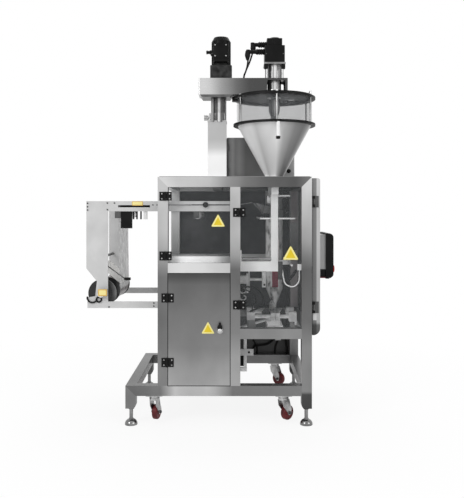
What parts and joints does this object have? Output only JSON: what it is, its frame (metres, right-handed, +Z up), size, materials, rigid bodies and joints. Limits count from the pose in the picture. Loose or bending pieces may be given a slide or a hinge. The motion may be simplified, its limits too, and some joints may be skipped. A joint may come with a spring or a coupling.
{
  "type": "sachet packaging machine",
  "caption": "Vertical form, fill and seal machine for powder sachets with a rear film rack, cabinet, clear doors and a column-mounted auger filler.",
  "frame": {"origin": "on the floor, under the middle of the whole machine's outline", "axes": "+Z up, +X from the film rack towards the operator's panel, -Y towards the side with the cabinet door"},
  "size_m": [1.387, 0.8365, 2.192],
  "materials": {
    "steel": "brushed stainless steel",
    "bright_steel": "polished steel",
    "aluminium": "satin aluminium",
    "zinc": "zinc plated pressed steel",
    "black_plastic": "black plastic",
    "black_paint": "black paint",
    "grey_paint": "dark grey paint",
    "light_grey": "light grey paint",
    "clear": "clear acrylic",
    "smoked": "smoked acrylic",
    "screen": "touch screen",
    "red_tyre": "red polyurethane",
    "red_plastic": "red button",
    "green_plastic": "green button",
    "film": "laminate film",
    "belt_red": "red toothed belt",
    "cable": "black cable",
    "mixed_parts": "control gear"
  },
  "bodies": {
    "frame": {"frame_posts": "steel", "frame_beams": "steel", "steel_panels": "steel", "far_windows": "smoked", "fixed_hinge_leaves": "black_plastic", "leg_fittings": "zinc", "electrical_panel": "mixed_parts", "rear_control_box": "grey_paint", "column_sleeve": "steel", "film_rack": "light_grey", "former_support": "light_grey", "forming_set": "steel", "film": "film", "jaw_guide": "bright_steel", "air_cylinder": "aluminium", "wiring": "cable"},
    "arm": {"arm_housing": "steel", "gear_motor": "black_paint", "servo_motor": "black_paint", "tie_rods_and_pillars": "bright_steel", "hopper_cone": "steel", "hopper_rings": "black_plastic", "hopper_cylinder": "clear", "hopper_lid": "black_plastic", "lift_tubes": "bright_steel", "motor_cables": "cable"},
    "auger": {"auger_screw": "bright_steel"},
    "agitator": {"agitator": "steel"},
    "clamp_knob": {"clamp_knob": "black_plastic"},
    "left_window": {"left_window": "clear"},
    "right_window": {"right_window": "clear"},
    "cabinet_door": {"cabinet_door": "steel"},
    "cabinet_lock": {"cabinet_lock": "black_plastic"},
    "front_door": {"front_door": "smoked", "hmi_housing": "black_plastic", "hmi_screen": "screen"},
    "emergency_stop": {"emergency_stop": "red_plastic"},
    "start_button": {"start_button": "green_plastic"},
    "film_roll": {"film_roll": "film", "roll_chucks": "black_plastic"},
    "guide_roller_rear": {"guide_roller_rear": "aluminium"},
    "guide_roller_front": {"guide_roller_front": "aluminium"},
    "near_belt_unit": {"near_belt_unit": "belt_red"},
    "far_belt_unit": {"far_belt_unit": "belt_red"},
    "left_jaw": {"left_jaw": "steel"},
    "right_jaw": {"right_jaw": "steel"},
    "jaw_crank": {"jaw_crank": "steel"},
    "vertical_sealer": {"vertical_sealer": "aluminium"},
    "foot_front_near": {"foot_front_near": "bright_steel"},
    "foot_front_far": {"foot_front_far": "bright_steel"},
    "foot_rear_near": {"foot_rear_near": "bright_steel"},
    "foot_rear_far": {"foot_rear_far": "bright_steel"},
    "fork_front_near": {"fork_front_near": "zinc"},
    "wheel_front_near": {"wheel_front_near": "red_tyre"},
    "fork_front_far": {"fork_front_far": "zinc"},
    "wheel_front_far": {"wheel_front_far": "red_tyre"},
    "fork_rear_near": {"fork_rear_near": "zinc"},
    "wheel_rear_near": {"wheel_rear_near": "red_tyre"},
    "fork_rear_far": {"fork_rear_far": "zinc"},
    "wheel_rear_far": {"wheel_rear_far": "red_tyre"}
  },
  "joints": [
    {"name": "arm_lift", "type": "slide", "parent": "frame", "child": "arm", "axis": [0, 0, 1], "range_m": [0, 0.15]},
    {"name": "auger_spin", "type": "hinge", "parent": "arm", "child": "auger", "pos_m": [0.368, 0.01, 1.832], "axis": [0, 0, 1], "continuous": true},
    {"name": "agitator_spin", "type": "hinge", "parent": "arm", "child": "agitator", "pos_m": [0.368, 0.01, 1.832], "axis": [0, 0, 1], "continuous": true},
    {"name": "clamp_turn", "type": "hinge", "parent": "frame", "child": "clamp_knob", "pos_m": [-0.022, 0.01, 1.714], "axis": [-1, 0, 0], "range_deg": [0, 360]},
    {"name": "left_window_swing", "type": "hinge", "parent": "frame", "child": "left_window", "pos_m": [-0.24425, -0.402, 0.875], "axis": [0, 0, -1], "range_deg": [0, 110]},
    {"name": "right_window_swing", "type": "hinge", "parent": "frame", "child": "right_window", "pos_m": [0.15175, -0.402, 0.522], "axis": [0, 0, -1], "range_deg": [0, 110]},
    {"name": "cabinet_door_swing", "type": "hinge", "parent": "frame", "child": "cabinet_door", "pos_m": [-0.23325, -0.402, 0.215], "axis": [0, 0, -1], "range_deg": [0, 110]},
    {"name": "lock_turn", "type": "hinge", "parent": "cabinet_door", "child": "cabinet_lock", "pos_m": [0.051, -0.395, 0.512], "axis": [0, 1, 0], "range_deg": [0, 90]},
    {"name": "front_door_swing", "type": "hinge", "parent": "frame", "child": "front_door", "pos_m": [0.559, -0.389, 0.485], "axis": [0, 0, -1], "range_deg": [0, 100]},
    {"name": "stop_press", "type": "slide", "parent": "front_door", "child": "emergency_stop", "axis": [-1, 0, 0], "range_m": [0, 0.004], "stiffness_N_per_m": 800},
    {"name": "start_press", "type": "slide", "parent": "front_door", "child": "start_button", "axis": [-1, 0, 0], "range_m": [0, 0.003], "stiffness_N_per_m": 500},
    {"name": "roll_spin", "type": "hinge", "parent": "frame", "child": "film_roll", "pos_m": [-0.6, 0.01, 0.702], "axis": [0, 1, 0], "continuous": true},
    {"name": "rear_roller_spin", "type": "hinge", "parent": "frame", "child": "guide_roller_rear", "pos_m": [-0.514, 0.01, 1.132], "axis": [0, 1, 0], "continuous": true},
    {"name": "front_roller_spin", "type": "hinge", "parent": "frame", "child": "guide_roller_front", "pos_m": [-0.08, 0.01, 1.132], "axis": [0, 1, 0], "continuous": true},
    {"name": "near_belt_release", "type": "slide", "parent": "frame", "child": "near_belt_unit", "axis": [0, -1, 0], "range_m": [0, 0.012]},
    {"name": "far_belt_release", "type": "slide", "parent": "frame", "child": "far_belt_unit", "axis": [0, 1, 0], "range_m": [0, 0.012]},
    {"name": "left_jaw_slide", "type": "slide", "parent": "frame", "child": "left_jaw", "axis": [-1, 0, 0], "range_m": [0, 0.025]},
    {"name": "right_jaw_slide", "type": "slide", "parent": "frame", "child": "right_jaw", "axis": [1, 0, 0], "range_m": [0, 0.025]},
    {"name": "crank_turn", "type": "hinge", "parent": "frame", "child": "jaw_crank", "pos_m": [0.016, 0.01, 0.326], "axis": [0, -1, 0], "range_deg": [0, 16]},
    {"name": "sealer_slide", "type": "slide", "parent": "frame", "child": "vertical_sealer", "axis": [-1, 0, 0], "range_m": [0, 0.02]},
    {"name": "foot_front_near_turn", "type": "hinge", "parent": "frame", "child": "foot_front_near", "pos_m": [0.5185, -0.3675, 0], "axis": [0, 0, 1], "continuous": true},
    {"name": "foot_front_far_turn", "type": "hinge", "parent": "frame", "child": "foot_front_far", "pos_m": [0.5185, 0.3875, 0], "axis": [0, 0, 1], "continuous": true},
    {"name": "foot_rear_near_turn", "type": "hinge", "parent": "frame", "child": "foot_rear_near", "pos_m": [-0.4305, -0.3675, 0], "axis": [0, 0, 1], "continuous": true},
    {"name": "foot_rear_far_turn", "type": "hinge", "parent": "frame", "child": "foot_rear_far", "pos_m": [-0.4305, 0.3875, 0], "axis": [0, 0, 1], "continuous": true},
    {"name": "front_near_swivel", "type": "hinge", "parent": "frame", "child": "fork_front_near", "pos_m": [0.395, -0.3675, 0.146], "axis": [0, 0, 1], "continuous": true},
    {"name": "front_near_wheel_spin", "type": "hinge", "parent": "fork_front_near", "child": "wheel_front_near", "pos_m": [0.41621, -0.34629, 0.06], "axis": [-0.7071, 0.7071, 0], "continuous": true},
    {"name": "front_far_swivel", "type": "hinge", "parent": "frame", "child": "fork_front_far", "pos_m": [0.395, 0.3875, 0.146], "axis": [0, 0, 1], "continuous": true},
    {"name": "front_far_wheel_spin", "type": "hinge", "parent": "fork_front_far", "child": "wheel_front_far", "pos_m": [0.41957, 0.37029, 0.06], "axis": [0.5736, 0.8192, 0], "continuous": true},
    {"name": "rear_near_swivel", "type": "hinge", "parent": "frame", "child": "fork_rear_near", "pos_m": [-0.304, -0.3675, 0.146], "axis": [0, 0, 1], "continuous": true},
    {"name": "rear_near_wheel_spin", "type": "hinge", "parent": "fork_rear_near", "child": "wheel_rear_near", "pos_m": [-0.29624, -0.33852, 0.06], "axis": [-0.9659, 0.2588, 0], "continuous": true},
    {"name": "rear_far_swivel", "type": "hinge", "parent": "frame", "child": "fork_rear_far", "pos_m": [-0.304, 0.3875, 0.146], "axis": [0, 0, 1], "continuous": true},
    {"name": "rear_far_wheel_spin", "type": "hinge", "parent": "fork_rear_far", "child": "wheel_rear_far", "pos_m": [-0.27502, 0.39526, 0.06], "axis": [-0.2588, 0.9659, 0], "continuous": true}
  ],
  "couplings": [
    {"joint": "far_belt_release", "follows": "near_belt_release", "ratio": 1},
    {"joint": "right_jaw_slide", "follows": "left_jaw_slide", "ratio": 1},
    {"joint": "crank_turn", "follows": "left_jaw_slide", "rad_per_m": 11.111}
  ]
}
